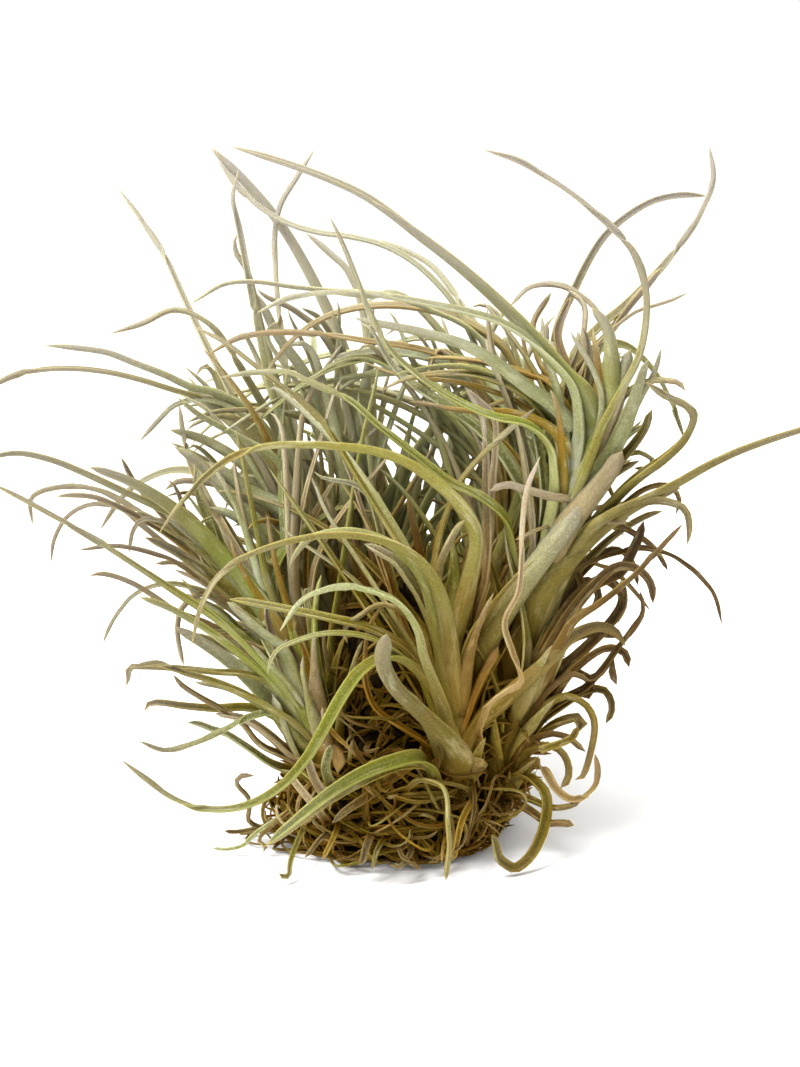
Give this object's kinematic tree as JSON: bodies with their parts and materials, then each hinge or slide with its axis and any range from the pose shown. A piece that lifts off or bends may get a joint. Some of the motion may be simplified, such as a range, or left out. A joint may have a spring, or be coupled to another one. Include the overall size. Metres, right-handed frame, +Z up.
{
  "type": "air plant clump",
  "caption": "Loose clump of narrow-leaved air plant shoots with arching, curled leaves, standing on a nest of dead leaves.",
  "frame": {"origin": "middle of the flat underside of the nest of dead leaves, on the surface it stands on", "axes": "+Z up; +X to the right as the plant is seen from the front; +Y to the back of the plant"},
  "size_m": [0.156, 0.1241, 0.1358],
  "materials": {
    "green": "matte",
    "silver": "matte",
    "olive": "matte",
    "ochre": "matte",
    "pale": "matte",
    "brown": "matte",
    "nest": "matte"
  },
  "bodies": {
    "root": {"dead_leaf_nest": "nest", "front_shoot": "silver", "right_high_shoot": "silver", "left_low_shoot": "silver", "left_mid_shoot": "silver", "back_left_shoot": "silver", "back_centre_shoot": "silver", "back_right_shoot": "silver", "right_low_shoot": "olive", "rear_shoot": "silver", "top_green_leaf": "green", "grey_arc_leaf": "silver", "long_olive_leaf": "green", "right_hoop_leaf": "olive", "right_hook_leaf": "olive", "pale_loop_leaf": "pale", "yellow_green_leaf": "green", "brown_needle_leaf": "brown", "back_s_leaf": "olive", "grey_wave_leaf": "silver", "ochre_cross_leaf": "ochre", "rear_right_leaf": "green", "rear_up_leaf": "olive", "tall_pale_leaf": "pale", "olive_hook_leaf": "olive", "long_thin_leaf": "silver", "silver_green_leaf": "silver", "left_great_arch": "olive", "upright_tan_leaf": "pale", "rear_left_leaf": "green", "cream_olive_leaf": "silver", "rear_high_leaf": "green", "rear_far_leaf": "olive", "left_cut_arch": "green", "left_s_curl": "olive", "drooping_curl": "brown", "dark_left_leaf": "brown", "hanging_pale_leaf": "pale", "long_straight_leaf": "green", "silver_keel_leaf": "silver", "low_left_leaf": "olive", "grey_trailing_leaf": "silver", "front_pale_blade": "olive", "front_broad_blade": "silver", "yellow_hook_leaf": "ochre", "front_great_arch": "olive", "upper_great_arch": "olive", "low_front_arch": "silver", "upright_pink_leaf": "pale", "upright_olive_leaf": "olive", "dry_ribbon": "pale", "thin_olive_leaf": "olive", "long_trailing_leaf": "green", "right_great_leaf": "olive", "right_low_leaf": "brown", "right_knob_leaf": "brown", "right_broad_leaf": "olive", "right_foot_curl": "pale", "rear_low_leaf": "green", "rear_side_leaf": "olive"}
  },
  "joints": []
}
